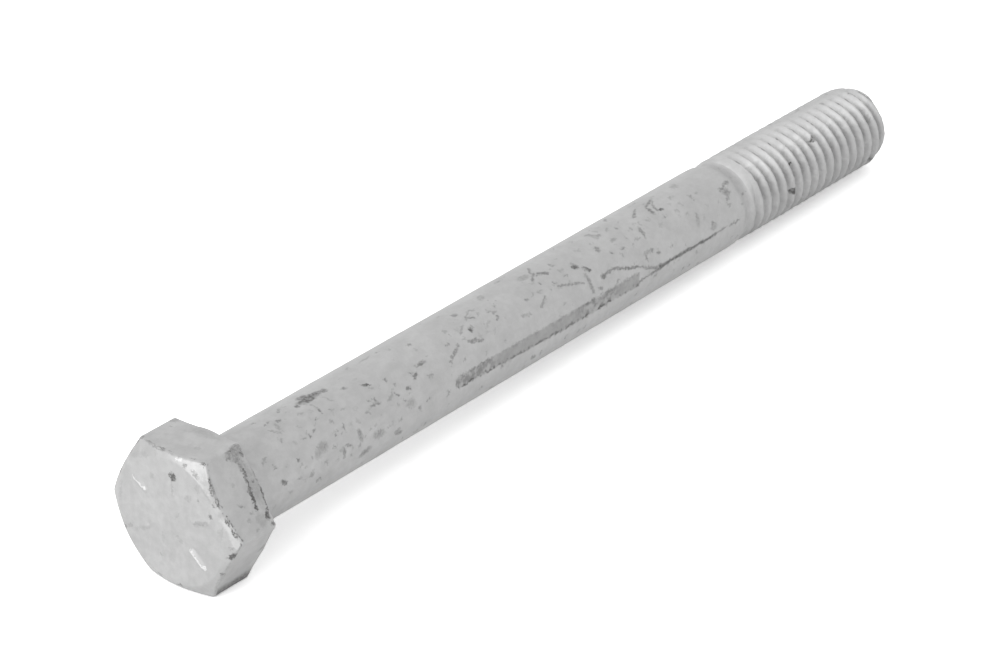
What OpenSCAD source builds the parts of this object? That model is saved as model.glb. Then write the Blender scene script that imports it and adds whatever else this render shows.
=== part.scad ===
// Hex cap screw, half inch by five and a half inches, thirteen threads to the inch, coated with zinc.
//
// It lies as it comes to rest on a floor: one flat of the head is down, and the thread touches near its end.
// X runs along the screw from the head to the point, and Z is up.
// The origin is the centre of the head's bearing face, on the screw's axis.
// All sizes are in millimetres and include the zinc.

/* [Head] */
// Width of the hexagon across its flats.
flats = 19.05; // [18.4:0.05:20]
// Height of the head, from the bearing face to the face with the marks.
head_h = 7.75; // [7:0.05:8.5]
// Thickness of the round washer face under the head.
washer_h = 0.4; // [0.2:0.05:0.7]
// Diameter of the washer face.
washer_d = 18.9; // [16.5:0.1:19]
// Diameter of the flat circle left by the chamfer on the head's face.
face_d = 17.7; // [15:0.1:18.2]
// Slant of the chamfer on the head's corners, in degrees.
face_slope = 30; // [20:1:35]
// Radius of the fillet between the bearing face and the body.
fillet_r = 0.5; // [0.3:0.05:0.6]

/* [Body] */
// Length of the screw under the head.
length = 139.7; // [110:0.1:150]
// Diameter of the plain body.
body_d = 12.55; // [12.3:0.05:12.7]
// Diameter of the neck between the body and the thread.
neck_d = 11.7; // [11.3:0.05:12]
// Length of the neck.
neck_h = 1; // [0.3:0.1:3]
// Length of the cone from the body down to the neck.
shoulder_h = 1.1; // [0.6:0.1:3]

/* [Thread] */
// Outside diameter of the thread.
thread_d = 12.5; // [12.1:0.05:12.6]
// Distance from one ridge to the next.
pitch = 1.954; // [1.75:0.001:2.1]
// Length of the thread, with the part that runs out at the neck.
thread_h = 34.7; // [28:0.1:42]
// Length over which the thread rises from the neck to its full diameter.
rise_h = 1.9; // [1:0.1:5]
// Distance into the thread at which the middle of the groove starts.
groove_start = 1.3; // [0.8:0.1:4]
// Length over which the middle of the groove sinks to its full depth.
sink_h = 0.4; // [0.2:0.1:6]
// Angle that the whole thread is turned by, in degrees.
thread_turn = 202; // [0:1:359]
// Radius left at the very end of the point.
point_r = 5.45; // [4:0.05:5.6]
// Slant of the point's chamfer, in degrees from the axis.
point_slope = 20; // [15:1:50]

/* [Marks on the head] */
// Number of raised bars on the head's face, which give the screw's strength grade.
mark_count = 6; // [3:1:6]
// Distance from the axis to the inner end of each bar.
mark_in = 4.1; // [3.5:0.1:5]
// Distance from the axis to the outer end of each bar.
mark_out = 7.5; // [6.5:0.1:7.8]
// Width of each bar, whose ends are round.
mark_w = 0.8; // [0.5:0.05:1.2]
// Height of each bar above the face.
mark_h = 0.25; // [0.1:0.05:0.4]
// Angle that the ring of bars is turned by, in degrees.
mark_turn = 9; // [0:1:59]

/* [Hidden] */
// Straight steps in one turn of the thread.
turn_steps = 30;
// Depth of the thread's groove with its rounded root, for a sixty degree thread.
groove_h = 0.6134 * pitch;
// One pitch of the thread: how far along it each point is, and how deep, both as shares.
profile = [
    [-1 / 16, 0],
    [1 / 16, 0],
    [7 / 32, 0.4412],
    [3 / 8, 0.8824],
    [1 / 2, 1],
    [5 / 8, 0.8824],
    [25 / 32, 0.4412]
];
// Points in one pitch.
profile_n = len(profile);
// Where the thread starts, just past the neck.
thread_x = length - thread_h;
// Where the body ends and its cone begins.
body_end = thread_x - neck_h - shoulder_h;
// Rows of points along the thread, with enough spare to pass both of its ends at every angle.
rows = (ceil(thread_h / pitch) + 5) * profile_n;
// Points closer than this to an end are moved onto it, so that no sliver is left there.
snap = 0.06;
// Radius of the neck.
neck_r = neck_d / 2;
// The thread's first ring is this much inside the neck, so that their faces meet cleanly.
ring_gap = 0.04;
// Height of the hexagon alone.
hex_h = head_h - washer_h;
// The screw's tilt at rest, set by the head's lower flat and the last full ridge.
last_ridge = length - (thread_d / 2 - point_r) / tan(point_slope);
rest_tilt = atan((flats - thread_d) / 2 / (last_ridge + washer_h));
// Smoothness of the true circles.
$fn = 96;

// Share of a rise or fall that starts and ends softly.
function soft(t) = let (c = max(0, min(1, t))) c * c * (3 - 2 * c);

// Share of a rise that starts at once and ends softly.
function ramp(t) = let (c = max(0, min(1, t))) c * (2 - c);

// Height of the ridges' crests at a distance into the thread, and of the groove's root.
function crest_r(x) = neck_r - ring_gap + (thread_d / 2 - neck_r + ring_gap) * ramp(x / rise_h);
root_r = thread_d / 2 - groove_h;

// The chamfered point's radius at a distance into the thread.
function cone_r(x) = point_r + (thread_h - x) * tan(point_slope);

// Distance into the thread of one row at one step round it: it follows the helix.
function row_x(m, j) =
    pitch * (floor(m / profile_n) - 2 + profile[m % profile_n][0] + j / turn_steps + thread_turn / 360);

// The same distance held between the thread's two ends.
function held_x(m, j) =
    let (x = row_x(m, j))
    x < snap ? 0 : x > thread_h - snap ? thread_h : x;

// Share of its full depth that the groove has where one row at one step lies in it.
function groove_share(m, j) =
    let (middle = pitch * (floor(m / profile_n) - 3 / 2 + j / turn_steps + thread_turn / 360))
    soft((middle - groove_start) / sink_h);

// Radius of the thread's surface at one row and step.
function row_r(m, j) =
    let (x = held_x(m, j), depth = profile[m % profile_n][1] * groove_share(m, j))
    let (ridge = crest_r(x) - (crest_r(x) - root_r) * depth)
    x == 0 ? neck_r - ring_gap : x == thread_h ? point_r : min(ridge, cone_r(x));

// Last row that is held at the thread's start, and first row that is held at its end, at one step.
function start_row(j) = len([for (m = [0:rows - 1]) if (held_x(m, j) == 0) m]) - 1;
function end_row(j) = rows - len([for (m = [0:rows - 1]) if (held_x(m, j) == thread_h) m]);

// Number of the point at a row and step, going on round from the last step to the first.
function point_at(m, j, starts, ends) =
    let (wrap = j == turn_steps, k = wrap ? 0 : j, n = wrap ? m + profile_n : m)
    k * rows + max(starts[k], min(ends[k], n));

// One face for each triangle with three different corners.
function real_faces(list) = [for (f = list) if (f[0] != f[1] && f[1] != f[2] && f[2] != f[0]) f];

// The helical thread as one closed solid, standing on the plane where it meets the neck.
module thread() {
    starts = [for (j = [0:turn_steps - 1]) start_row(j)];
    ends = [for (j = [0:turn_steps - 1]) end_row(j)];
    wall_points = [
        for (j = [0:turn_steps - 1], m = [0:rows - 1])
            let (a = 360 * j / turn_steps, r = row_r(m, j))
            [r * cos(a), r * sin(a), held_x(m, j)]
    ];
    start_centre = len(wall_points);
    end_centre = start_centre + 1;
    wall = [
        for (j = [0:turn_steps - 1], m = [0:rows - 2], half = [0, 1])
            let (
                a = point_at(m, j, starts, ends),
                b = point_at(m + 1, j, starts, ends),
                c = point_at(m + 1, j + 1, starts, ends),
                d = point_at(m, j + 1, starts, ends)
            )
            half == 0 ? [a, b, c] : [a, c, d]
    ];
    start_cap = [
        for (j = [0:turn_steps - 1])
            [start_centre, point_at(0, j, starts, ends), point_at(0, j + 1, starts, ends)]
    ];
    end_cap = [
        for (j = [0:turn_steps - 1])
            [end_centre, point_at(rows - 1, j + 1, starts, ends), point_at(rows - 1, j, starts, ends)]
    ];
    polyhedron(
        points = concat(wall_points, [[0, 0, 0], [0, 0, thread_h]]),
        faces = concat(real_faces(wall), start_cap, end_cap),
        convexity = 10
    );
}

// The hexagon, cut back by a cone at its corners, with the round washer face behind it.
module head() {
    intersection() {
        translate([0, 0, -head_h])
            rotate([0, 0, 30])
                cylinder(d = flats / cos(30), h = hex_h, $fn = 6);
        translate([0, 0, -head_h])
            cylinder(
                r1 = face_d / 2,
                r2 = face_d / 2 + head_h / tan(face_slope),
                h = head_h
            );
    }
    translate([0, 0, -head_h / 2])
        cylinder(d = washer_d, h = head_h / 2);
}

// The raised bars on the head's face, spread evenly like spokes.
module marks() {
    for (i = [0:mark_count - 1])
        rotate([0, 0, mark_turn + 360 * i / mark_count])
            translate([0, 0, -head_h - mark_h]) {
                translate([mark_in + mark_w / 2, -mark_w / 2, 0])
                    cube([mark_out - mark_in - mark_w, mark_w, mark_h + 1]);
                translate([mark_in + mark_w / 2, 0, 0])
                    cylinder(d = mark_w, h = mark_h + 1, $fn = 24);
                translate([mark_out - mark_w / 2, 0, 0])
                    cylinder(d = mark_w, h = mark_h + 1, $fn = 24);
            }
}

// The plain body with the fillet under the head, the cone at its far end and the neck.
module body() {
    translate([0, 0, -head_h / 2])
        cylinder(d = body_d, h = body_end + head_h / 2);
    rotate_extrude()
        translate([body_d / 2, 0])
            difference() {
                translate([-0.5, -0.5])
                    square(fillet_r + 0.5);
                translate([fillet_r, fillet_r])
                    circle(r = fillet_r, $fn = 48);
            }
    translate([0, 0, body_end])
        cylinder(d1 = body_d, d2 = neck_d, h = shoulder_h);
    translate([0, 0, body_end + shoulder_h])
        cylinder(d = neck_d, h = neck_h);
}

// The whole screw, turned from standing on its axis to lying at rest.
module screw() {
    color("silver")
        rotate([0, 90 + rest_tilt, 0]) {
            head();
            marks();
            body();
            translate([0, 0, thread_x])
                thread();
        }
}

screw();
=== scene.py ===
"""Hex cap screw with a dull hot-dip zinc coat, lying at rest on a pale floor."""
from math import atan, atan2, ceil, cos, degrees, floor, pi, radians, sin, sqrt, tan

import bmesh
import bpy
from mathutils import Matrix, Vector, noise


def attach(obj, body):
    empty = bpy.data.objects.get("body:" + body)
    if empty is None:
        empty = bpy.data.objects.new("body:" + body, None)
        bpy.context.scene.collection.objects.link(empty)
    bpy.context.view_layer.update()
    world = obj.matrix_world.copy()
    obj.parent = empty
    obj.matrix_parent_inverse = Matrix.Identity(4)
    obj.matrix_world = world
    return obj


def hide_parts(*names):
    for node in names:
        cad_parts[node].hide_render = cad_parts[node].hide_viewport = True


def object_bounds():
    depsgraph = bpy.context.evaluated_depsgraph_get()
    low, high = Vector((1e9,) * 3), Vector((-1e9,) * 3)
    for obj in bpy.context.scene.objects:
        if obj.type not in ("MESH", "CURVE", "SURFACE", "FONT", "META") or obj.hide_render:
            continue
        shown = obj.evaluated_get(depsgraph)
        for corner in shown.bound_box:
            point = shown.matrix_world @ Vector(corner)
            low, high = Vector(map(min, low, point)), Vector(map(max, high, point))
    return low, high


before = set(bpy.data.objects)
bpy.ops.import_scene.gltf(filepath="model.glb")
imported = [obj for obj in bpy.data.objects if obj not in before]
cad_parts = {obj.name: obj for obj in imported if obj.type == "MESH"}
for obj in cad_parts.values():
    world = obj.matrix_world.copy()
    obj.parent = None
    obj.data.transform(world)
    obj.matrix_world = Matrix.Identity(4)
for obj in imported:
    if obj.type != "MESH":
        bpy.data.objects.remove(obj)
cad_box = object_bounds()

# ---- sizes ------------------------------------------------------------------------------------

MM = 0.001

# The screw's sizes in millimetres. They are the solid's own, apart from RISE_H: under its zinc the thread
# comes up sooner than there. Along is measured from the bearing face towards the point, and turn goes
# from the top towards the side that faces the camera.
FLATS = 19.05
HEAD_H = 7.75
WASHER_H = 0.4
WASHER_D = 18.9
FACE_D = 17.7
FACE_SLOPE = radians(30)
FILLET_R = 0.5
LENGTH = 139.7
BODY_D = 12.55
NECK_D = 11.7
NECK_H = 1.0
SHOULDER_H = 1.1
THREAD_D = 12.5
PITCH = 1.954
GROOVE_H = 0.6134 * PITCH
FLANK_SLOPE = radians(30)
THREAD_H = 34.7
RISE_H = 1.3
GROOVE_START = 1.3
SINK_H = 0.4
THREAD_TURN = radians(202)
POINT_R = 5.45
POINT_SLOPE = radians(20)
BAR_W, BAR_H = 0.8, 0.25
# Each raised bar on the face: its turn in degrees from the camera's side, its two ends and its share of
# the height.
BARS = [
    (-40.7, 4.2, 7.5, 1.0), (17.0, 4.0, 7.4, 0.8), (80.5, 3.8, 6.5, 0.7), (142.5, 4.6, 7.5, 0.7),
    (207.5, 4.1, 7.4, 0.6), (253.0, 4.0, 7.2, 0.35),
]
# A bar's side is gone at this share of its half width, and falls over this much of it.
BAR_NONE, BAR_FALL = 1.15, 0.7

# Where the thread starts, where the plain body ends, where the last full ridge touches the floor, and
# the tilt that the screw takes at rest.
THREAD_FROM = LENGTH - THREAD_H
BODY_TO = THREAD_FROM - NECK_H - SHOULDER_H
LAST_RIDGE = LENGTH - (THREAD_D / 2 - POINT_R) / tan(POINT_SLOPE)
REST_TILT = atan((FLATS - THREAD_D) / 2 / (LAST_RIDGE + WASHER_H))
# The thread's first ring is this much inside the neck.
RING_GAP = 0.04
THREAD_BASE = NECK_D / 2 - RING_GAP

# Roundings in millimetres: the head's upright corners, its rim and back edge, the sharper edges of the
# face and the washer, the washer's foot, the two ends of the shoulder, and the thread's crests, roots
# and point.
CORNER_R = 0.45
RIM_ROUND = 0.3
EDGE_ROUND = 0.15
FOOT_ROUND = 0.12
SHOULDER_ROUND, NECK_ROUND = 0.6, 0.4
CREST_ROUND, ROOT_ROUND, POINT_ROUND = 0.30, 0.35, 0.25
# The back edge and the washer's foot are rounded over this share of the step between them at most.
STEP_SHARE = 0.45

# Zinc left in the thread's grooves as shares of their depth: most near the top, and a little low on the
# camera's side, with the turns where each starts or ends and how softly.
TOP_FILL, TOP_MIDDLE, TOP_END, TOP_SOFT = 0.7, radians(-15), radians(56), radians(34)
LOW_FILL, LOW_START, LOW_SOFT = 0.2, radians(70), radians(25)

# Points round the screw. In each twelfth of a turn they are wide apart up to WIDE_PART and close after it,
# and the steps are shares of even ones.
COLUMNS = 192
WIDE_PART, WIDE_STEP, CLOSE_STEP = 0.7, 1.36, 0.16
# Rings on the face: their number, and where they start and end as shares of the way out to its edge.
BARS_FROM, BARS_TO = 3.6 / (FACE_D / 2), 7.9 / (FACE_D / 2)
FACE_RINGS = [(5, 0.0, BARS_FROM), (34, BARS_FROM, BARS_TO), (3, BARS_TO, 1.0)]
# Rings on each corner of the outline after the face's middle, and on the straight stretch that follows.
CORNER_RINGS = [(4, 6), (4, 9), (4, 2), (2, 1), (3, 3), (6, 112), (3, 2), (3, 2)]
# Greatest distance between two rings of the thread, and the rings on the flat end of the point.
THREAD_STEP = 0.15
END_RINGS = (0.02, 0.06, 0.15, 0.4, 0.7, 1.0)
# The radius of the first ring before it is placed, and how near two points are to be made one.
LEAST_RADIUS = 0.001
MERGE_GAP = 0.0005
# A turn this little short of a twelfth counts as a whole one.
ROUND_OFF = 1e-6

# Layers of unevenness: the noise's scale, its start and its height in millimetres. The coat swells and
# is lumpy, and it shifts the thread's ridges along the screw and lifts them.
COAT_LAYERS = [(0.16, (0, 0, 0), 0.030), (0.55, (7, 3, 1), 0.018), (1.9, (2, 9, 5), 0.008)]
SHIFT_LAYERS = [(1.3, (4, 4, 8), 0.13), (2.9, (0, 0, 0), 0.078)]
LIFT_LAYERS = [(1.7, (9, 1, 3), 0.035)]
# The radius at which the thread's layers are read.
WOBBLE_R = 6
# The skin is sunk by this much before the coat's unevenness, so that it stays inside the solid's box.
COAT_SINK = 0.02


def soft(t):
    """A share that starts and ends softly."""
    t = max(0.0, min(1.0, t))
    return t * t * (3 - 2 * t)


def soft_max(a, b, k):
    """The larger of two heights, with the corner between them rounded over k."""
    h = max(k - abs(a - b), 0.0) / k
    return max(a, b) + h * h * k / 4


# ---- the head and the body --------------------------------------------------------------------

def hexagon_reach(turn):
    """Distance from the axis to the head's side, whose upright corners are rounded."""
    half = FLATS / 2
    off_flat = abs((turn + pi / 6) % (pi / 3) - pi / 6)
    if off_flat <= atan((half - CORNER_R) * tan(pi / 6) / half):
        return half / cos(off_flat)
    centre = (half - CORNER_R) / cos(pi / 6)
    off_corner = pi / 6 - off_flat
    return centre * cos(off_corner) + sqrt(max(0.0, CORNER_R ** 2 - (centre * sin(off_corner)) ** 2))


def crowded(turn):
    """Moves the columns closer together near the head's corners, where the rounding needs them."""
    sector = floor(turn / (pi / 6) + ROUND_OFF)
    share = turn / (pi / 6) - sector
    if sector % 2:
        share = 1 - share
    if share < WIDE_PART:
        share = WIDE_STEP * share
    else:
        share = WIDE_STEP * WIDE_PART + (share - WIDE_PART) * CLOSE_STEP
    if sector % 2:
        share = 1 - share
    return (sector + share) * pi / 6


def outline(turn):
    """Corners of the section from the middle of the face to the thread, as (along, radius, rounding)."""
    reach = hexagon_reach(turn)
    drop = (reach - FACE_D / 2) * tan(FACE_SLOPE)
    step = (reach - WASHER_D / 2) * STEP_SHARE
    return [
        (-HEAD_H, 0.0, 0.0),
        (-HEAD_H, FACE_D / 2, EDGE_ROUND),
        (-HEAD_H + drop, reach, RIM_ROUND),
        (-WASHER_H, reach, min(RIM_ROUND, step)),
        (-WASHER_H, WASHER_D / 2, min(FOOT_ROUND, step)),
        (0.0, WASHER_D / 2, EDGE_ROUND),
        (0.0, BODY_D / 2, FILLET_R),
        (BODY_TO, BODY_D / 2, SHOULDER_ROUND),
        (THREAD_FROM - NECK_H, NECK_D / 2, NECK_ROUND),
        (THREAD_FROM, THREAD_BASE, 0.0),
    ]


def on_line(corners, part, share):
    """A point on the straight stretch that starts at corner part."""
    a, b = corners[part], corners[part + 1]
    length = sqrt((b[0] - a[0]) ** 2 + (b[1] - a[1]) ** 2)
    start, end = a[2] / length, 1 - b[2] / length
    t = start + (end - start) * share
    return a[0] + (b[0] - a[0]) * t, a[1] + (b[1] - a[1]) * t


def on_corner(corners, part, share):
    """A point on the rounding at corner part."""
    before, after = on_line(corners, part - 1, 1.0), on_line(corners, part, 0.0)
    k = corners[part]
    u = 1 - share
    return tuple(u * u * before[i] + 2 * u * share * k[i] + share * share * after[i] for i in (0, 1))


# ---- the thread -------------------------------------------------------------------------------

def groove_depth(across):
    """Depth of a sixty degree groove with soft zinc edges, by the distance across from a crest."""
    flank = (across - PITCH / 16) / tan(FLANK_SLOPE)
    depth = soft_max(flank, 0.0, CREST_ROUND)
    return -soft_max(-depth, -GROOVE_H, ROOT_ROUND)


def filled_share(turn):
    """Share of the groove's depth that zinc fills."""
    from_middle = abs((turn - TOP_MIDDLE + pi) % (2 * pi) - pi)
    top = TOP_FILL * soft((TOP_END - from_middle) / TOP_SOFT)
    low = LOW_FILL * soft((turn % (2 * pi) - LOW_START) / LOW_SOFT)
    return top + low


def thread_radius(along, turn):
    """Radius of the thread's surface, with its start at the neck and the point's cone."""
    inside = along - THREAD_FROM
    rise = max(0.0, min(1.0, inside / RISE_H))
    crest = THREAD_BASE + (THREAD_D / 2 - THREAD_BASE) * rise * (2 - rise)
    turns = (turn + pi + THREAD_TURN) / (2 * pi)
    ahead = inside / PITCH - turns
    across = abs((ahead + 0.5) % 1 - 0.5) * PITCH
    middle = (floor(ahead) + 0.5 + turns) * PITCH
    share = soft((middle - GROOVE_START) / SINK_H) * (1 - filled_share(turn))
    ridge = crest - (crest - THREAD_D / 2 + GROOVE_H) * share * groove_depth(across) / GROOVE_H
    cone = POINT_R + (LENGTH - along) * tan(POINT_SLOPE)
    return -soft_max(-ridge, -cone, POINT_ROUND)


# ---- the bars on the head's face --------------------------------------------------------------

def bar_height(right, up):
    """Height of the raised bars at a place on the face, seen from in front."""
    best = 0.0
    for degrees_round, start, end, share in BARS:
        turn = radians(degrees_round)
        out, side = right * cos(turn) + up * sin(turn), -right * sin(turn) + up * cos(turn)
        past = max(start + BAR_W / 2 - out, out - end + BAR_W / 2, 0.0)
        gap = sqrt(past * past + side * side) / (BAR_W / 2)
        best = max(best, BAR_H * share * soft((BAR_NONE - gap) / BAR_FALL))
    return best


# ---- the mesh ---------------------------------------------------------------------------------

def outline_rows():
    """Every ring of the screw from the face's middle to the point's, as ways to find its section."""
    rows = [
        ("line", 0, start + (end - start) * i / count)
        for count, start, end in FACE_RINGS for i in range(count)
    ]
    for part, (on_round, on_straight) in enumerate(CORNER_RINGS, 1):
        rows += [("corner", part, i / on_round) for i in range(on_round)]
        rows += [("line", part, i / on_straight) for i in range(on_straight)]
    steps = ceil(THREAD_H / THREAD_STEP)
    rows += [("thread", 0, i / steps) for i in range(steps + 1)]
    rows += [("end", 0, share) for share in END_RINGS]
    return rows


def section_point(row, turn):
    """Where a ring is at one turn, as (along, radius)."""
    kind, part, share = row
    if kind == "line":
        return on_line(outline(turn), part, share)
    if kind == "corner":
        return on_corner(outline(turn), part, share)
    if kind == "thread":
        along = THREAD_FROM + THREAD_H * share
        return along, thread_radius(along, turn)
    return LENGTH, thread_radius(LENGTH, turn) * (1 - share)


def unevenness(place, layers):
    """The sum of several layers of noise at a place, in millimetres."""
    return sum(height * noise.noise(place * scale + Vector(start)) for scale, start, height in layers)


def spin_rows(bm, row_of, rows):
    """Spins a chain with one point for each ring round the axis, so that each point knows its ring."""
    chain = []
    for i, row in enumerate(rows):
        along, radius = section_point(row, 0.0)
        vert = bm.verts.new((along, 0.0, max(radius, LEAST_RADIUS)))
        vert[row_of] = i
        chain.append(vert)
    edges = [bm.edges.new(pair) for pair in zip(chain, chain[1:])]
    bmesh.ops.spin(
        bm, geom=chain + edges, cent=(0, 0, 0), axis=(1, 0, 0), dvec=(0, 0, 0), angle=2 * pi,
        space=Matrix.Identity(4), steps=COLUMNS, use_merge=True, use_normal_flip=False, use_duplicate=False,
    )


def place_point(vert, row):
    """Moves a point to its ring's section at its own turn, with the thread's wobble and the face's bars."""
    kind, part, share = row
    step = 2 * pi / COLUMNS
    turn = crowded(round(atan2(-vert.co.y, vert.co.z) / step) * step % (2 * pi))
    along, radius = section_point(row, turn)
    if kind == "thread" and 0 < share < 1:
        place = Vector((along, -WOBBLE_R * sin(turn), WOBBLE_R * cos(turn)))
        radius = thread_radius(along + unevenness(place, SHIFT_LAYERS), turn) + unevenness(place, LIFT_LAYERS)
    vert.co = (along, -radius * sin(turn), radius * cos(turn))
    if kind == "line" and part == 0:
        vert.co.x -= bar_height(-vert.co.y, vert.co.z)


def lay_at_rest(bm):
    """Turns the screw from millimetres on its axis to metres at rest, inside the solid's box."""
    bmesh.ops.scale(bm, vec=(MM, MM, MM), verts=bm.verts)
    bmesh.ops.rotate(bm, cent=(0, 0, 0), matrix=Matrix.Rotation(REST_TILT, 3, "Y"), verts=bm.verts)
    for vert in bm.verts:
        vert.co = Vector(min(max(vert.co[i], cad_box[0][i]), cad_box[1][i]) for i in range(3))


def give_materials(bm, row_of, face_rows):
    """Numbers each face's material: the head's face, its sides, the body's stretches and the thread."""
    for face in bm.faces:
        face.smooth = True
        along = face.calc_center_median().x / MM
        on_face = min(vert[row_of] for vert in face.verts) < face_rows
        face.material_index = 0 if on_face else 1 + sum(along > border for border in BODY_STRETCHES)


def add_piece(name, bm):
    """Makes a piece of a finished bmesh."""
    mesh = bpy.data.meshes.new(name)
    bm.to_mesh(mesh)
    bm.free()
    piece = bpy.data.objects.new(name, mesh)
    bpy.context.scene.collection.objects.link(piece)
    return piece


def make_screw():
    """The whole coated screw as one closed mesh."""
    rows = outline_rows()
    face_rows = rows.index(("line", 2, 0.0))
    bm = bmesh.new()
    row_of = bm.verts.layers.int.new("row")
    spin_rows(bm, row_of, rows)
    for vert in bm.verts:
        place_point(vert, rows[vert[row_of]])
    bmesh.ops.remove_doubles(bm, verts=bm.verts, dist=MERGE_GAP)
    bmesh.ops.recalc_face_normals(bm, faces=bm.faces)
    bm.normal_update()
    for vert in bm.verts:
        vert.co = vert.co + vert.normal * (unevenness(vert.co, COAT_LAYERS) - COAT_SINK)
    lay_at_rest(bm)
    give_materials(bm, row_of, face_rows)
    return add_piece("coated_screw", bm)


# ---- the marks in the zinc --------------------------------------------------------------------

# Marks that stand out on the body, by how dark they are: along, turn in degrees, length, width and slant
# in degrees.
BODY_DABS = {
    0.8: [
        (17.5, 3, 4.4, 1.4, 0), (25.5, 28, 1.5, 0.4, 28), (45.6, 33, 0.8, 1, 25),
        (68, 30, 1.3, 0.8, 25), (88.5, 20, 1.3, 0.5, 0),
    ],
    0.62: [
        (15, 5, 0.9, 0.8, 0), (20, 4, 1.4, 1, 0), (17, -5, 1.8, 0.9, 0), (6.3, 79, 1.2, 0.7, 35),
        (33, 48, 1.5, 0.4, -30), (35, 39, 2, 0.5, -5), (69.5, 42, 1.3, 0.6, 25), (87, 13, 0.6, 2.2, 5),
        (88.5, 0, 3.2, 0.5, -22), (71.5, 58, 1.2, 0.8, 0), (31, 57, 1, 0.4, 15), (9.5, 65, 0.5, 0.5, 0),
    ],
    0.45: [
        (12.7, -4, 1.3, 0.4, -45), (11, 11, 0.9, 0.8, 30), (22.5, 17, 1.1, 0.5, 15),
        (14, 44, 1.1, 0.4, -25), (17.3, 84, 0.7, 1.5, 0), (18.3, 80, 1.4, 0.4, 25),
        (20.6, 76, 0.8, 1.9, 0), (21.3, 102, 2.6, 1, -10), (24.8, 53, 2, 0.4, 8),
        (27.7, 101, 1.9, 0.8, 25), (46, 3, 1.1, 0.8, 15), (51, 29, 1.1, 0.4, -10),
        (57, 35.5, 0.9, 0.5, 0), (40.7, 35, 0.8, 0.6, 0), (70.1, 70, 1.2, 0.5, 30),
        (55.5, 111, 1.3, 0.8, 45), (73.6, 25, 0.9, 1.2, 25), (82.4, 34, 0.6, 2, 12),
        (84.6, 4, 2.2, 0.4, -42), (101, 45, 1.7, 1.3, 0), (77.4, 40, 1.1, 0.4, 0),
        (79.6, 11.5, 0.6, 0.4, -30), (80.7, 66, 0.5, 1.2, 0), (82.1, 60, 1, 0.6, 0),
        (100.5, 52, 0.9, 0.5, 0),
    ],
    0.28: [
        (10, 18, 0.7, 1.4, 10), (4.7, 46, 1.5, 0.4, -35), (13, 70, 1.5, 1.4, -20),
        (29.7, -9, 2.5, 0.4, -8), (27.6, 55, 1.8, 0.5, -20), (52, -1, 1.5, 1, -35),
        (60, 6, 2.4, 1.2, 0), (77.2, 24, 1.4, 0.7, 0), (78.2, 6, 1.4, 0.5, -35), (75.6, 5, 1.2, 1.4, 0),
        (81.3, 61, 2.2, 0.7, 0), (93, 57, 0.8, 2, 20), (95, -5, 1.6, 1.2, -35), (95.8, 76, 1.6, 0.9, 0),
        (91.8, 43, 0.9, 0.4, 0), (14, 66, 2.2, 1.6, -25), (30.5, 74, 1.8, 1.4, 20),
        (24, 88, 2.6, 1.2, 15),
    ],
}
# Where small flecks crowd on the body: along, turn, length, width, slant, and the share of places that
# hold one.
FLECK_CLUSTERS = [
    (21, 76, 30, 6, 0, 0.85), (12, 24, 10, 7, 0, 0.7), (26, 47, 18, 5, 0, 0.7), (37, 50, 14, 5, 0, 0.6),
    (47, 28, 16, 7, 0, 0.6), (64, 22, 12, 8, 0, 0.6), (79, 20, 14, 9, 0, 0.5), (92, 42, 14, 8, 0, 0.4),
]
# Thin dark lines on the body: along and turn of both ends, width and darkness.
BODY_STROKES = [
    (13.2, 62, 14.2, 70, 0.3, 0.3), (16.6, 14, 17.0, 28, 0.25, 0.25), (19.0, 12, 19.6, 24, 0.2, 0.25),
    (8.6, 16, 9.6, 26, 0.3, 0.3), (40.0, 52, 42.1, 42, 0.45, 0.45), (43.6, 31, 45.2, 24, 0.3, 0.3),
    (44.1, 44, 46.3, 51, 0.45, 0.5), (46.6, 15, 48.3, 8, 0.3, 0.35), (46.8, 17, 47.7, 22, 0.4, 0.5),
    (54.6, 50, 56.0, 53, 0.45, 0.3), (58.5, 53, 60.2, 43, 0.35, 0.4), (60.5, 17, 61.8, 8, 0.45, 0.5),
    (61.6, 6, 62.6, -6, 0.4, 0.45), (62.5, 12, 63.5, 19, 0.7, 0.6), (63.2, 40, 67.6, 53, 0.42, 0.42),
    (68.6, 46, 68.7, 70, 0.6, 0.4), (69.1, 37, 69.9, 43, 0.45, 0.75), (75.4, -3, 76.0, 8, 0.3, 0.4),
    (83.7, 10, 85.6, -2, 0.35, 0.5), (87.9, 18, 88.4, 7, 0.4, 0.5), (88.4, 7, 89.3, 1, 0.35, 0.4),
    # The wide faint line at 103.9 is painted shade in the neck's dip before the thread.
    (100.2, 38, 102.5, 33, 0.6, 0.5), (103.9, -40, 103.9, 90, 2.0, 0.1), (71.2, 58, 73.5, 56, 0.5, 0.5),
    (73.5, 56, 75.0, 59.5, 0.45, 0.5), (75.0, 59.5, 76.6, 66, 0.42, 0.6),
    (76.6, 66, 78.6, 70.5, 0.45, 0.6), (78.6, 70.5, 80.6, 79, 0.4, 0.4),
    (80.6, 79, 82.8, 86.5, 0.55, 0.45), (78.4, 91, 81.0, 88.5, 0.35, 0.5),
    (81.0, 88.5, 83.2, 88, 0.5, 0.6), (83.0, 86, 90.0, 86.5, 0.55, 0.75),
    (90.0, 86.5, 96.0, 86.5, 0.42, 0.75), (96.0, 86.5, 98.6, 85, 0.24, 0.5),
    (99.3, 86.5, 101.6, 86, 0.3, 0.5),
]
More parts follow.
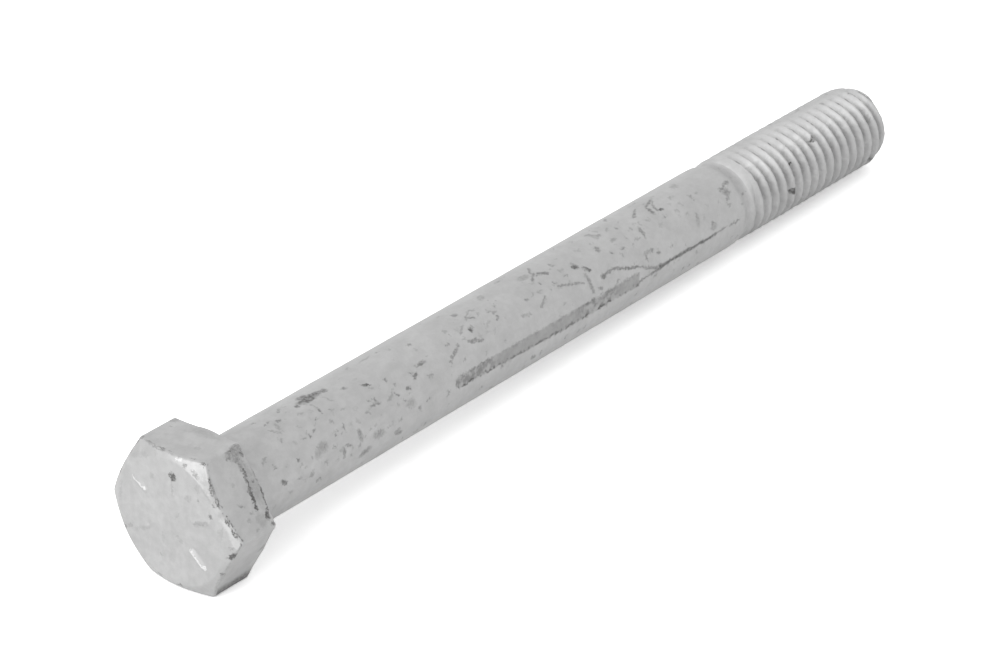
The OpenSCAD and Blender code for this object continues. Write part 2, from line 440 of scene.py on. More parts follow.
# Marks on the head's face: right, up, length, width, slant and darkness.
FACE_DABS = [
    (0.9, 6.6, 1.3, 1.1, 0, 0.9), (-2.7, 5.5, 0.9, 0.8, 0, 0.15), (2.8, 8.7, 0.7, 0.6, 0, 0.6),
    (5.1, 4.7, 0.6, 0.5, 0, 0.3), (3.4, 4.4, 1.6, 0.9, 30, 0.18), (0.8, 4.9, 0.35, 2.6, 0, 0.2),
    (5.35, 1.65, 3.4, 0.6, 20, 0.25), (-4.9, -2.7, 3.0, 0.6, 22, 0.12),
    (-7.2, -3.2, 1.0, 0.5, 20, 0.25), (-1.4, -2.9, 0.5, 1.6, 0, 0.12), (-1.9, -5.4, 0.6, 0.6, 0, 0.22),
    (1.3, 1.1, 0.3, 2.0, -40, 0.15), (1.2, -1.9, 1.6, 0.3, -25, 0.18), (1.7, -2.3, 0.8, 0.6, 0, 0.15),
    (-0.3, -5.1, 1.3, 2.0, 0, 0.08), (-5.2, 7.4, 3.4, 0.7, 18, 0.1), (7.0, 3.2, 0.6, 0.9, 0, 0.55),
    (7.5, 4.9, 0.5, 0.6, 0, 0.55), (7.1, 6.5, 0.5, 1.3, 30, 0.55), (-1.9, 8.8, 0.8, 0.5, -20, 0.12),
    (4.6, 8.0, 1.8, 0.35, -35, 0.35), (5.1, 6.3, 1.2, 1.2, 0, 0.15), (8.8, 1.6, 0.4, 0.9, 10, 0.2),
    (9.7, -1.75, 1.6, 0.7, 32, 1.0), (9.7, -0.6, 0.6, 0.5, 0, 0.3), (8.1, -4.8, 0.6, 0.5, 0, 0.6),
    # The broad soft dab at (7.0, 6.6) is painted shade that dims the highlight on the upper right chamfer.
    (7.0, 6.6, 5.0, 2.2, -50, 0.2), (8.0, 5.0, 1.0, 0.8, 0, 0.2), (8.9, 3.5, 1.6, 0.9, -40, 0.18),
    (8.6, 1.2, 1.0, 1.6, 0, 0.14), (-2.6, -8.6, 1.2, 0.4, -15, 0.5), (0.9, -8.8, 1.2, 0.4, 0, 0.5),
    (-8.0, -3.6, 0.7, 0.5, 60, 0.4), (-5.0, -7.7, 0.6, 0.3, 40, 0.4), (-8.3, 1.4, 0.5, 3.4, -8, 0.14),
    (-4.0, 8.0, 3.0, 0.6, 12, 0.12),
]
# Bright places on the face, painted highlights on two bars' tops and on worn edges: right and up of both
# ends, width and strength.
WORN_AND_HIGHLIT_PLACES = [
    (3.2, -3.0, 5.6, -4.75, 0.44, 0.85), (-5.9, 4.2, -4.0, 3.2, 0.36, 0.7),
    (1.4, 9.2, 2.2, 9.3, 0.3, 0.5), (9.0, 3.2, 10.1, 1.3, 1.0, 0.3), (10.1, 1.3, 10.3, -0.2, 1.1, 0.3),
]
# Marks on the head's sides: along, place across the side with SIDE_STEP added for each side past the top
# one, length, width, slant and darkness.
SIDE_STEP = 20
SIDE_DABS = [
    (-2.5, -4.2, 0.4, 0.5, 0, 0.4), (-1.2, -4.9, 1.4, 0.9, 30, 0.25), (-4.4, 2.2, 0.9, 0.8, 45, 0.16),
    (-1.6, -0.5, 0.6, 0.7, 0, 0.16), (-1.3, 0.2, 1.7, 6.0, 0, 0.14), (-1.6, 5.6, 2.4, 1.1, -12, 0.55),
    (-2.0, -1.8, 1.2, 1.6, 0, 0.08), (-1.8, 15.0, 3.4, 2.4, 0, 0.42), (-2.2, 14.5, 1.3, 0.7, 20, 0.8),
    (-1.0, 14.3, 1.2, 0.8, 0, 0.6), (-3.0, 15.4, 1.1, 0.6, 0, 0.5), (-0.9, 15.7, 0.6, 0.9, 0, 0.7),
    (-2.1, 16.0, 1.3, 0.6, 20, 0.5), (-1.6, 18.1, 0.45, 1.3, 10, 0.6), (-1.0, 19.4, 0.8, 0.6, 0, 0.55),
    (-2.0, 20.1, 0.9, 1.3, 20, 0.6), (-0.7, 21.6, 1.2, 1.6, 0, 0.25), (-1.2, 24.0, 0.9, 1.0, 0, 0.8),
    (-0.8, 25.1, 0.9, 0.6, 20, 0.6), (-4.1, 18.5, 0.7, 0.6, 30, 0.18),
    (-4.3, 21.2, 1.2, 0.45, 40, 0.35), (-3.2, 22.7, 0.7, 0.4, 20, 0.3), (-4.1, 23.4, 0.7, 0.5, 15, 0.2),
    (-2.3, 23.8, 1.2, 1.9, 0, 0.14), (-3.4, 24.8, 0.6, 0.4, 0, 0.25), (-7.8, 35.6, 1.6, 1.1, 40, 1.0),
    (-1.1, 38.9, 0.7, 1.3, 30, 0.4), (-7.2, 40.2, 0.6, 1.5, -30, 0.3), (-7.0, -1.2, 0.45, 0.8, 0, 0.7),
    (-6.7, 3.4, 0.4, 0.9, 0, 0.6), (-6.8, -5.0, 1.0, 0.4, -25, 0.6), (-7.0, 0.1, 0.35, 0.9, 0, 0.35),
    (-1.6, 16.9, 1.4, 1.8, 0, 0.3), (-1.1, 19.8, 1.7, 7.0, 0, 0.24), (-2.3, 24.0, 1.6, 2.0, 0, 0.2),
    # The broad patch at (-3.6, 45.7) is painted shade at the lower flat's foot, near the floor.
    (-6.8, 23.0, 0.45, 0.6, 0, 0.8), (-3.6, 45.7, 13.0, 4.8, 0, 0.62),
]
# Thin dark lines on the head's sides, placed in the same way: both ends, width and darkness.
SIDE_STROKES = [
    (-6.3, 14.4, -6.9, 16.0, 0.24, 0.6), (-6.9, 16.0, -7.1, 17.4, 0.2, 0.4),
    (-7.1, 17.4, -7.3, 19.0, 0.22, 0.35), (-7.3, 19.0, -7.1, 20.3, 0.24, 0.45),
    (-7.2, 21.0, -6.8, 22.8, 0.26, 0.7), (-6.7, 23.3, -6.3, 25.0, 0.24, 0.6),
    (-1.6, 15.6, -1.9, 17.4, 0.4, 0.5), (-1.65, 17.4, -1.95, 20.0, 0.42, 0.75),
    (-2.05, 20.2, -2.2, 22.6, 0.4, 1.0), (-0.3, 17.0, -0.3, 20.6, 0.3, 0.4),
    (-0.3, 20.6, -0.5, 22.8, 0.36, 0.75), (-0.5, 22.8, -1.1, 23.6, 0.4, 0.8),
]
# Marks on the thread, listed as the body's are.
THREAD_DABS = {
    0.85: [
        (115.2, 93, 1.3, 1.2, 20), (116.0, 101, 0.5, 0.8, 0), (116.2, 55, 0.8, 0.8, 0),
        (123.0, 41, 1.3, 0.9, 30),
    ],
    0.5: [
        (129.4, 91, 0.7, 0.5, 0), (136.7, 9, 0.7, 0.8, 0), (136.5, 127, 2.4, 1.0, 0),
    ],
    0.28: [
        (113.9, 102, 0.8, 0.7, 0), (117.6, 11, 0.9, 0.5, -30), (131.4, 22, 0.8, 0.6, 0),
        (131.0, -3, 0.8, 0.6, 0), (111.9, 30, 0.6, 1.6, 0), (138.0, 92, 0.4, 1.8, 0),
        (136.0, 55, 0.9, 2.6, 0), (127.5, -21, 2.6, 0.8, -30), (135.0, -22, 1.6, 0.7, -40),
        (121.5, -28, 2.4, 0.8, -40), (109.5, -32, 2.0, 0.8, -30),
    ],
}


# ---- the zinc ---------------------------------------------------------------------------------

# One degree round the body's skin, in millimetres.
SKIN_DEGREE = radians(BODY_D / 2)
# How light the dull zinc is, the colour of worn zinc with painted highlights, and that of dark dross and
# painted shade.
ZINC = 0.49
HIGHLIT_WORN_ZINC = (0.82, 0.82, 0.82, 1)
DROSS_AND_SHADE = (0.125, 0.124, 0.122, 1)
# How much of the look is metal, and how rough it is, on plain zinc and on dross and painted shade.
METAL, DROSS_AND_SHADE_METAL = 0.45, 0.1
DULL, THREAD_DULL, DROSS_AND_SHADE_DULL = 0.48, 0.6, 0.8
# How light the zinc is on each part against the body, and how much paler the thread gets near its top, as
# paler zinc with a painted highlight.
FACE_TONE, SIDE_TONE, THREAD_TONE, THREAD_TOP_HIGHLIGHT = 1.0, 0.98, 1.04, 0.24
# How far the zinc's lightness swings: in broad swells, in patches and in fine grain.
SWELLS, PATCHES, GRAIN = (0.95, 1.04), (0.95, 1.03), (0.975, 1.025)
# The bump in the zinc: the depth of its patches and of its grain, in millimetres, and its strength.
PATCH_BUMP, GRAIN_BUMP, BUMP_STRENGTH = 0.05, 0.014, 0.6
# Where a mark has faded away and where it is whole, as shares of its half size.
DAB_EDGE, STROKE_EDGE = (1.25, 0.55), (1.4, 0.5)
# Flecks: how close together they may be, how far they are torn, their least and greatest size and
# darkness, and the share of places that hold one outside the clusters.
FLECK_SCALE, FLECK_TEAR = 0.72, (2.4, 1.6, 0)
FLECK_SIZES, FLECK_DARKS = (0.11, 0.27), (0.16, 0.55)
FLECKS_ELSEWHERE = 0.16
# The body's zinc is finished in stretches, and this is where they meet along it.
BODY_STRETCHES = [0.3, 22.0, 39.0, 60.0, 78.0, THREAD_FROM + 0.4]
# How far past a stretch's ends an oval mark or a thin line may lie and still be laid on it.
DAB_MARGIN, STROKE_MARGIN = 3, 1
# The long dark stripe: where it starts and ends along the body, where it bends and from which turn to
# which in degrees, and where it widens and its half widths there.
STRIPE_START, STRIPE_END = 39.3, 78.35
STRIPE_BEND, STRIPE_TURNS = (44.0, 62.0), (83.0, 86.2)
STRIPE_WIDENS, STRIPE_HALVES = (40.0, 62.0), (0.86, 1.0)
# The broken line along the head's rim: how far it wanders, and the distances at which it fades and is
# whole.
RIM_WANDER, RIM_LINE = (-0.24, 0.34), (0.17, 0.04)
# The dark line of painted shade in the thread's groove, in shares of the pitch: how far it climbs low down
# and near the top, how far it wanders, and the distances at which it fades and is whole. It is whole from
# this far into the thread, in millimetres.
LINE_CLIMB, LINE_WANDER, LINE_EDGE = (0.12, 0.36), (-0.11, 0.11), (0.15, 0.06)
LINE_WHOLE = 2.0
# How dark the painted shade is deep in the groove, and the radii at which it starts and is thickest.
GROOVE_SHADE, GROOVE_SHADE_RADII = 0.2, (5.8, 5.2)
# How far its edge is torn in and out.
GROOVE_SHADE_TEAR = (-0.5, 0.5)
# The point's flat end is clean inside the first of these radii, and has its marks outside the second.
CLEAN_END = (3.6, 5.0)
# Noise that tears the marks' edges: its scale and how far it pushes, in millimetres.
TEARS = ((1.1, 0.55), (3.4, 0.75), (9.0, 0.3))


def feed(tree, made, inputs):
    """Links each input of a node that is given a socket, and sets each that is given a value."""
    for name, value in inputs.items():
        if isinstance(value, bpy.types.NodeSocket):
            tree.links.new(value, made.inputs[name])
        else:
            made.inputs[name].default_value = value


def node(tree, kind, inputs=None, **settings):
    """Adds a node with its settings and inputs."""
    made = tree.nodes.new("ShaderNode" + kind)
    for name, value in settings.items():
        setattr(made, name, value)
    feed(tree, made, inputs or {})
    return made


def math(tree, operation, first, *others, clamp=False):
    """A maths node, or one after the other where more than two values go in."""
    if not others:
        return node(tree, "Math", {0: first}, operation=operation, use_clamp=clamp).outputs[0]
    for other in others:
        first = node(tree, "Math", {0: first, 1: other}, operation=operation, use_clamp=clamp).outputs[0]
    return first


def product(tree, *values):
    return math(tree, "MULTIPLY", *values)


def total(tree, *values):
    return math(tree, "ADD", *values)


def largest(tree, *values):
    return math(tree, "MAXIMUM", *values)


def vector_math(tree, operation, a, b, out=0):
    return node(tree, "VectorMath", {0: a, 1: b}, operation=operation).outputs[out]


def scaled(tree, vector, amount):
    return node(tree, "VectorMath", {0: vector, "Scale": amount}, operation="SCALE").outputs[0]


def length_of(tree, vector):
    return node(tree, "VectorMath", {0: vector}, operation="LENGTH").outputs[1]


def run(tree, value, low, high, to_low, to_high, **settings):
    """A straight run from one value to another."""
    inputs = {"Value": value, "From Min": low, "From Max": high, "To Min": to_low, "To Max": to_high}
    return node(tree, "MapRange", inputs, **settings).outputs[0]


def ramp(tree, value, low, high, to_low=0.0, to_high=1.0):
    """A soft step from one value to another."""
    return run(tree, value, low, high, to_low, to_high, interpolation_type="SMOOTHSTEP")


def between(tree, value, rise, fall):
    """A soft rise and a soft fall after it, each given as ramp takes it."""
    return product(tree, ramp(tree, value, *rise), ramp(tree, value, *fall))


def clouds(tree, place, scale, detail, roughness=0.5, out=0):
    """Noise over the zinc: output 0 is a value and output 1 a colour."""
    inputs = {"Vector": place, "Scale": scale, "Detail": detail, "Roughness": roughness}
    return node(tree, "TexNoise", inputs).outputs[out]


def mixed_colour(tree, share, first, second):
    return node(tree, "Mix", {0: share, 6: first, 7: second}, data_type="RGBA").outputs[2]


def new_group(name, inputs, outputs):
    """A shader node group with named inputs and outputs, given as name and kind."""
    tree = bpy.data.node_groups.new(name, "ShaderNodeTree")
    for side, sockets in (("INPUT", inputs), ("OUTPUT", outputs)):
        for socket, kind in sockets.items():
            tree.interface.new_socket(name=socket, in_out=side, socket_type="NodeSocket" + kind)
    return tree, tree.nodes.new("NodeGroupInput").outputs, tree.nodes.new("NodeGroupOutput").inputs


def use_group(tree, group, inputs=None):
    """Places a node group in a tree, and gives its outputs."""
    return node(tree, "Group", inputs, node_tree=group).outputs


def head_edge(tree, along, reach, off):
    """How far a point of the head lies from its rim, on the chamfer or on a side."""
    inward = math(tree, "SUBTRACT", FLATS / 2, product(tree, reach, math(tree, "COSINE", off)))
    slope = product(tree, math(tree, "SUBTRACT", reach, FACE_D / 2), tan(FACE_SLOPE))
    behind = math(tree, "SUBTRACT", total(tree, along, HEAD_H), slope)
    return largest(tree, inward, behind)


def place_group():
    """Where a point is on the screw, in millimetres.

    It is along the screw, round it and out from its axis, and on the flat maps of skin, face and sides.
    """
    tree, _, out = new_group("screw_place", {}, {
        "Place": "Vector", "Along": "Float", "Turn": "Float", "Out": "Float",
        "Skin": "Vector", "Face": "Vector", "Side": "Vector", "Edge": "Float",
    })
    coord = node(tree, "TexCoord").outputs["Object"]
    to_axis = {"Vector": coord, "Rotation": (0, -REST_TILT, 0), "Scale": (1 / MM, 1 / MM, 1 / MM)}
    place = node(tree, "Mapping", to_axis).outputs[0]
    parts = node(tree, "SeparateXYZ", {0: place}).outputs
    along, up = parts["X"], parts["Z"]
    right = product(tree, parts["Y"], -1)
    turn = math(tree, "ARCTAN2", right, up)
    reach = math(tree, "SQRT", total(tree, product(tree, right, right), product(tree, up, up)))
    side = math(tree, "ROUND", math(tree, "DIVIDE", turn, pi / 3))
    off = math(tree, "SUBTRACT", turn, product(tree, side, pi / 3))
    across = total(tree, product(tree, reach, math(tree, "SINE", off)), product(tree, side, SIDE_STEP))
    values = {
        "Place": place, "Along": along, "Turn": math(tree, "DEGREES", turn), "Out": reach,
        "Skin": node(tree, "CombineXYZ", {"X": along, "Y": product(tree, turn, BODY_D / 2)}).outputs[0],
        "Face": node(tree, "CombineXYZ", {"X": right, "Y": up}).outputs[0],
        "Side": node(tree, "CombineXYZ", {"X": along, "Y": across}).outputs[0],
        "Edge": head_edge(tree, along, reach, off),
    }
    for name, value in values.items():
        tree.links.new(value, out[name])
    return tree


def ragged_group():
    """Pushes flat coordinates about by a little noise, so that marks get ragged edges."""
    tree, given, out = new_group("ragged", {"Flat": "Vector", "Place": "Vector"}, {"Flat": "Vector"})
    flat = given["Flat"]
    for scale, amount in TEARS:
        cloud = clouds(tree, given["Place"], scale, 1.5, out=1)
        push = scaled(tree, vector_math(tree, "SUBTRACT", cloud, (0.5, 0.5, 0.5)), amount)
        flat = vector_math(tree, "ADD", flat, push)
    tree.links.new(vector_math(tree, "MULTIPLY", flat, (1, 1, 0)), out["Flat"])
    return tree


def dab_group():
    """One oval mark, laid over the marks so far."""
    tree, given, out = new_group("dab", {
        "Flat": "Vector", "Centre": "Vector", "Size": "Vector",
        "Slant": "Float", "Dark": "Float", "Below": "Float",
    }, {"Marks": "Float"})
    off = vector_math(tree, "SUBTRACT", given["Flat"], given["Centre"])
    turned = node(tree, "VectorRotate", {"Vector": off, "Angle": given["Slant"]}, rotation_type="Z_AXIS")
    share = vector_math(tree, "DIVIDE", turned.outputs[0], given["Size"])
    mask = ramp(tree, length_of(tree, share), *DAB_EDGE)
    tree.links.new(largest(tree, product(tree, mask, given["Dark"]), given["Below"]), out["Marks"])
    return tree


def stroke_group():
    """One thin line from a point to another, laid over the marks so far."""
    tree, given, out = new_group("stroke", {
        "Flat": "Vector", "From": "Vector", "To": "Vector",
        "Half": "Float", "Dark": "Float", "Below": "Float",
    }, {"Marks": "Float"})
    there = vector_math(tree, "SUBTRACT", given["Flat"], given["From"])
    line = vector_math(tree, "SUBTRACT", given["To"], given["From"])
    reached = vector_math(tree, "DOT_PRODUCT", there, line, out=1)
    squared = vector_math(tree, "DOT_PRODUCT", line, line, out=1)
    foot = scaled(tree, line, math(tree, "DIVIDE", reached, squared, clamp=True))
    gap = length_of(tree, vector_math(tree, "SUBTRACT", there, foot))
    mask = ramp(tree, math(tree, "DIVIDE", gap, given["Half"]), *STROKE_EDGE)
    tree.links.new(largest(tree, product(tree, mask, given["Dark"]), given["Below"]), out["Marks"])
    return tree


def flecks_group():
    """Small flecks scattered by chance, more of them where the share is higher."""
    tree, given, out = new_group("flecks", {"Flat": "Vector", "Share": "Float"}, {"Marks": "Float"})
    cloud = clouds(tree, given["Flat"], 1.7, 2.5, out=1)
    push = vector_math(tree, "MULTIPLY", vector_math(tree, "SUBTRACT", cloud, (0.5, 0.5, 0.5)), FLECK_TEAR)
    torn = vector_math(tree, "ADD", given["Flat"], push)
    cells = node(tree, "TexVoronoi", {"Vector": torn, "Scale": FLECK_SCALE}, voronoi_dimensions="2D").outputs
    chance = node(tree, "SeparateColor", {0: cells["Color"]}).outputs
    there = math(tree, "LESS_THAN", chance["Red"], given["Share"])
    size = run(tree, chance["Green"], 0.0, 1.0, *FLECK_SIZES)
    dark = run(tree, chance["Blue"], 0.0, 1.0, *FLECK_DARKS)
    mask = ramp(tree, math(tree, "DIVIDE", cells["Distance"], size), *DAB_EDGE)
    tree.links.new(product(tree, mask, dark, there), out["Marks"])
    return tree


def coat_group():
    """The zinc itself: its colour, roughness, metal and unevenness.

    Dark marks are broken up by specks, a stain isn't, and worn places with painted highlights are bright.
    """
    inputs = {name: "Float" for name in ("Marks", "Stain", "Worn and highlit", "Tone", "Dull")}
    outputs = {"Color": "Color", "Roughness": "Float", "Metal": "Float", "Height": "Float"}
    tree, given, out = new_group("zinc_coat", {"Place": "Vector"} | inputs, outputs)
    place = given["Place"]
    swells = ramp(tree, clouds(tree, place, 0.22, 3.0, 0.6), 0.30, 0.70, *SWELLS)
    cloud = clouds(tree, place, 0.9, 4.0, 0.6)
    patches = ramp(tree, cloud, 0.30, 0.72, *PATCHES)
    fine = clouds(tree, place, 5.0, 3.0, 0.65)
    grain = ramp(tree, fine, 0.25, 0.75, *GRAIN)
    zinc = scaled(tree, (ZINC, ZINC, ZINC), product(tree, patches, swells, grain, given["Tone"]))
    specks = ramp(tree, clouds(tree, place, 2.7, 3.0, 0.7), 0.38, 0.56, 0.62, 1.2)
    torn = product(tree, specks, ramp(tree, fine, 0.30, 0.62, 0.8, 1.15))
    dark = math(tree, "MULTIPLY", given["Marks"], torn, clamp=True)
    marks = largest(tree, dark, given["Stain"])
    # Dark marks, dross and painted shade alike, take the dark colour; worn places and painted highlights the
    # pale one.
    color = mixed_colour(tree, marks, mixed_colour(tree, given["Worn and highlit"], zinc, HIGHLIT_WORN_ZINC), DROSS_AND_SHADE)
    tree.links.new(color, out["Color"])
    tree.links.new(ramp(tree, marks, 0.0, 1.0, given["Dull"], DROSS_AND_SHADE_DULL), out["Roughness"])
    tree.links.new(ramp(tree, marks, 0.0, 1.0, METAL, DROSS_AND_SHADE_METAL), out["Metal"])
    height = total(tree, product(tree, cloud, PATCH_BUMP), product(tree, fine, GRAIN_BUMP))
    tree.links.new(height, out["Height"])
    return tree


def lay_dabs(tree, dab, flat, marks, below=0.0):
    """Lays a list of oval marks, given in millimetres, one over the other."""
    for x, y, length, width, slant, dark in marks:
        below = use_group(tree, dab, {
            "Flat": flat, "Centre": (x, y, 0), "Size": (length / 2, width / 2, 1),
            "Slant": -radians(slant), "Dark": dark, "Below": below,
        })["Marks"]
    return below


def lay_strokes(tree, stroke, flat, marks, below=0.0):
    """Lays a list of thin lines, given in millimetres, one over the other."""
    for x0, y0, x1, y1, width, dark in marks:
        below = use_group(tree, stroke, {
            "Flat": flat, "From": (x0, y0, 0), "To": (x1, y1, 0), "Half": width / 2,
            "Dark": dark, "Below": below,
        })["Marks"]
    return below


def skin_dabs(by_darkness):
    """Oval marks listed by darkness, with turns in degrees, as one list in millimetres on the skin."""
    return [
        (x, turn * SKIN_DEGREE, length, width, slant, dark)
        for dark, marks in by_darkness.items() for x, turn, length, width, slant in marks
    ]


def start_zinc(name, groups, flat_map):
    """A new material, the places on the screw, and the ragged flat map that its marks lie on."""
    material = bpy.data.materials.new(name)
    material.use_nodes = True
    tree = material.node_tree
    place = use_group(tree, groups["place"])
    flat = use_group(tree, groups["ragged"], {"Flat": place[flat_map], "Place": place["Place"]})["Flat"]
    return material, tree, place, flat


def finish_zinc(material, groups, place, marks, tone=1.0, worn_and_highlit=0.0, dull=DULL, stain=0.0):
    """Joins the coat to the material's shader."""
    tree = material.node_tree
    shader = tree.nodes["Principled BSDF"]
    zinc = use_group(tree, groups["coat"], {
        "Place": place["Place"], "Marks": marks, "Stain": stain, "Worn and highlit": worn_and_highlit, "Tone": tone, "Dull": dull,
    })
    tree.links.new(zinc["Color"], shader.inputs["Base Color"])
    tree.links.new(zinc["Roughness"], shader.inputs["Roughness"])
    tree.links.new(zinc["Metal"], shader.inputs["Metallic"])
    bump = node(tree, "Bump", {"Strength": BUMP_STRENGTH, "Distance": MM, "Height": zinc["Height"]})
    tree.links.new(bump.outputs["Normal"], shader.inputs["Normal"])
    return material


def body_zinc(groups, stretch):
    """The zinc on one stretch of the body, with the marks that lie on it."""
    start, end = BODY_STRETCHES[stretch], BODY_STRETCHES[stretch + 1]
    material, tree, place, flat = start_zinc("zinc_body_%d" % (stretch + 1), groups, "Skin")
    dabs = [mark for mark in skin_dabs(BODY_DABS) if start - DAB_MARGIN < mark[0] < end + DAB_MARGIN]
    marks = lay_dabs(tree, groups["dab"], flat, dabs)
    strokes = [
        (x0, turn0 * SKIN_DEGREE, x1, turn1 * SKIN_DEGREE, width, dark)
        for x0, turn0, x1, turn1, width, dark in BODY_STROKES
        if start - STROKE_MARGIN < x1 and x0 < end + STROKE_MARGIN
    ]
    marks = lay_strokes(tree, groups["stroke"], flat, strokes, marks)
    striped = start < STRIPE_END and end > STRIPE_START
    stain = long_stripe(tree, flat, place["Place"]) if striped else 0.0
    clusters = [
        (x, turn * SKIN_DEGREE, length, width, slant, share)
        for x, turn, length, width, slant, share in FLECK_CLUSTERS if start - length < x < end + length
    ]
    crowd = lay_dabs(tree, groups["dab"], place["Skin"], clusters, FLECKS_ELSEWHERE)
    flecks = use_group(tree, groups["flecks"], {"Flat": flat, "Share": crowd})["Marks"]
    return finish_zinc(material, groups, place, largest(tree, marks, flecks), stain=stain)


def stripe_outline(tree, along, round_it):
    """Where the long stripe is, and how far across it a point lies, from -1 at its upper edge to 1."""
    middle = run(tree, along, *STRIPE_BEND, *(turn * SKIN_DEGREE for turn in STRIPE_TURNS))
    half = run(tree, along, *STRIPE_WIDENS, *STRIPE_HALVES)
    across = math(tree, "DIVIDE", math(tree, "SUBTRACT", round_it, middle), half)
    early = largest(tree, math(tree, "SUBTRACT", STRIPE_START + 0.8, along), 0.0)
    round_end = math(tree, "SQRT", total(tree, product(tree, across, across), product(tree, early, early)))
    blunt_end = ramp(tree, along, STRIPE_END + 0.2, STRIPE_END - 0.15)
    return product(tree, ramp(tree, round_end, 1.12, 0.84), blunt_end), across


def long_stripe(tree, flat, place):
    """The long dark stripe along the body, with a blunt start, a mottled middle and a darker lower edge."""
    parts = node(tree, "SeparateXYZ", {0: flat}).outputs
    inside, across = stripe_outline(tree, parts["X"], parts["Y"])
    blobs = clouds(tree, place, 1.15, 2.5, 0.65)
    late = between(tree, parts["X"], (64.0, 67.0), (74.5, 72.0))
    rough = largest(tree, ramp(tree, parts["X"], 50.0, 44.0), late)
    lumpy = product(tree, rough, ramp(tree, blobs, 0.36, 0.62, -0.12, 0.22))
    mottle = ramp(tree, blobs, 0.34, 0.66, 0.3, 0.38)
    lower_edge = product(tree, ramp(tree, across, 0.45, 0.75), ramp(tree, blobs, 0.44, 0.58, 0.02, 0.44))
    upper_edge = product(tree, ramp(tree, across, -0.5, -0.85), ramp(tree, blobs, 0.42, 0.6, 0.0, 0.15))
    return product(tree, inside, total(tree, mottle, lumpy, lower_edge, upper_edge))


def rim_marks(tree, place):
    """A broken dark line where the head's chamfer meets its sides, strongest on the camera's side."""
    broken = clouds(tree, place["Place"], 1.0, 3.0, 0.7)
    wander = run(tree, broken, 0.3, 0.7, *RIM_WANDER)
    gap = math(tree, "ABSOLUTE", math(tree, "SUBTRACT", place["Edge"], wander))
    strong = between(tree, place["Turn"], (20, 34), (92, 84))
    least = run(tree, strong, 0.0, 1.0, 0.1, 0.35)
    most = run(tree, strong, 0.0, 1.0, 0.5, 0.72)
    breaks = run(tree, clouds(tree, place["Place"], 0.5, 2.0), 0.42, 0.58, least, most)
    below = ramp(tree, place["Turn"], 90, 96, 1.0, 0.35)
    return product(tree, ramp(tree, gap, *RIM_LINE), breaks, below)


def face_zinc(groups):
    """The zinc on the head's face, with its marks and painted highlights on two bars' tops and worn edges."""
    material, tree, place, flat = start_zinc("zinc_face", groups, "Face")
    marks = largest(tree, lay_dabs(tree, groups["dab"], flat, FACE_DABS), rim_marks(tree, place))
    # Painted highlights: two bars' tops and some worn edges are drawn bright, as if light caught them.
    worn_and_highlit = lay_strokes(tree, groups["stroke"], flat, WORN_AND_HIGHLIT_PLACES)
    return finish_zinc(material, groups, place, marks, FACE_TONE, worn_and_highlit)


def side_zinc(groups):
    """The zinc on the head's sides and back."""
    material, tree, place, flat = start_zinc("zinc_sides", groups, "Side")
    marks = lay_dabs(tree, groups["dab"], flat, SIDE_DABS)
    marks = lay_strokes(tree, groups["stroke"], flat, SIDE_STROKES, marks)
    return finish_zinc(material, groups, place, largest(tree, marks, rim_marks(tree, place)), SIDE_TONE)


def groove_shade_line(tree, place, lumps):
    """A thin ragged line of painted shade that winds with the groove, and leaves its middle where zinc fills
    it.
    """
    ahead = math(tree, "DIVIDE", math(tree, "SUBTRACT", place["Along"], THREAD_FROM), PITCH)
    round_it = math(tree, "DIVIDE", total(tree, place["Turn"], 180 + degrees(THREAD_TURN)), 360)
    share = math(tree, "FRACT", math(tree, "SUBTRACT", ahead, round_it))
    climb = ramp(tree, place["Turn"], 60.0, 18.0, *LINE_CLIMB)
    wander = run(tree, lumps, 0.3, 0.7, *LINE_WANDER)
    gap = math(tree, "ABSOLUTE", total(tree, share, climb, -0.5, wander))
    reach = between(tree, place["Turn"], (4.0, 18.0), (80.0, 60.0))
    begun = ramp(tree, place["Along"], THREAD_FROM + GROOVE_START, THREAD_FROM + LINE_WHOLE)
    return product(tree, ramp(tree, gap, *LINE_EDGE), reach, begun)


def thread_zinc(groups):
    """Thread zinc: paler near the top with a painted highlight, painted shade in the grooves on the camera's
    side.
    """
    material, tree, place, flat = start_zinc("zinc_thread", groups, "Skin")
    marks = lay_dabs(tree, groups["dab"], flat, skin_dabs(THREAD_DABS))
    lumps = clouds(tree, place["Place"], 1.2, 3.0, 0.6)
    # Painted shade: the grooves are drawn darker towards their roots on the camera's side, where shade falls.
    ragged_out = total(tree, place["Out"], run(tree, lumps, 0.0, 1.0, *GROOVE_SHADE_TEAR))
    shade_side_share = between(tree, place["Turn"], (2.0, 50.0, 0.3, 1.0), (95.0, 72.0, 0.6, 1.0))
    painted_groove_shade = product(tree, ramp(tree, ragged_out, *GROOVE_SHADE_RADII), shade_side_share, GROOVE_SHADE)
    off_the_end = ramp(tree, place["Out"], *CLEAN_END)
    # The marks, the painted groove shade and the groove's painted shade line, kept off the point's flat end.
    marks = product(tree, largest(tree, marks, painted_groove_shade, groove_shade_line(tree, place, lumps)), off_the_end)
    # Painted highlight: the thread is drawn paler towards its top, where light falls, on top of paler zinc.
    painted_top_highlight = product(tree, between(tree, place["Turn"], (-28.0, 14.0), (76.0, 34.0)), off_the_end)
    tone = total(tree, THREAD_TONE, product(tree, painted_top_highlight, THREAD_TOP_HIGHLIGHT))
    return finish_zinc(material, groups, place, marks, tone, dull=THREAD_DULL)


def zinc_materials():
    """All the screw's materials, in the order of the numbers that its faces have."""
    groups = {
        "place": place_group(), "ragged": ragged_group(), "dab": dab_group(), "stroke": stroke_group(),
        "flecks": flecks_group(), "coat": coat_group(),
    }
    stretches = [body_zinc(groups, k) for k in range(len(BODY_STRETCHES) - 1)]
    return [face_zinc(groups), side_zinc(groups)] + stretches + [thread_zinc(groups)]


# ---- the floor, the light and the camera ------------------------------------------------------

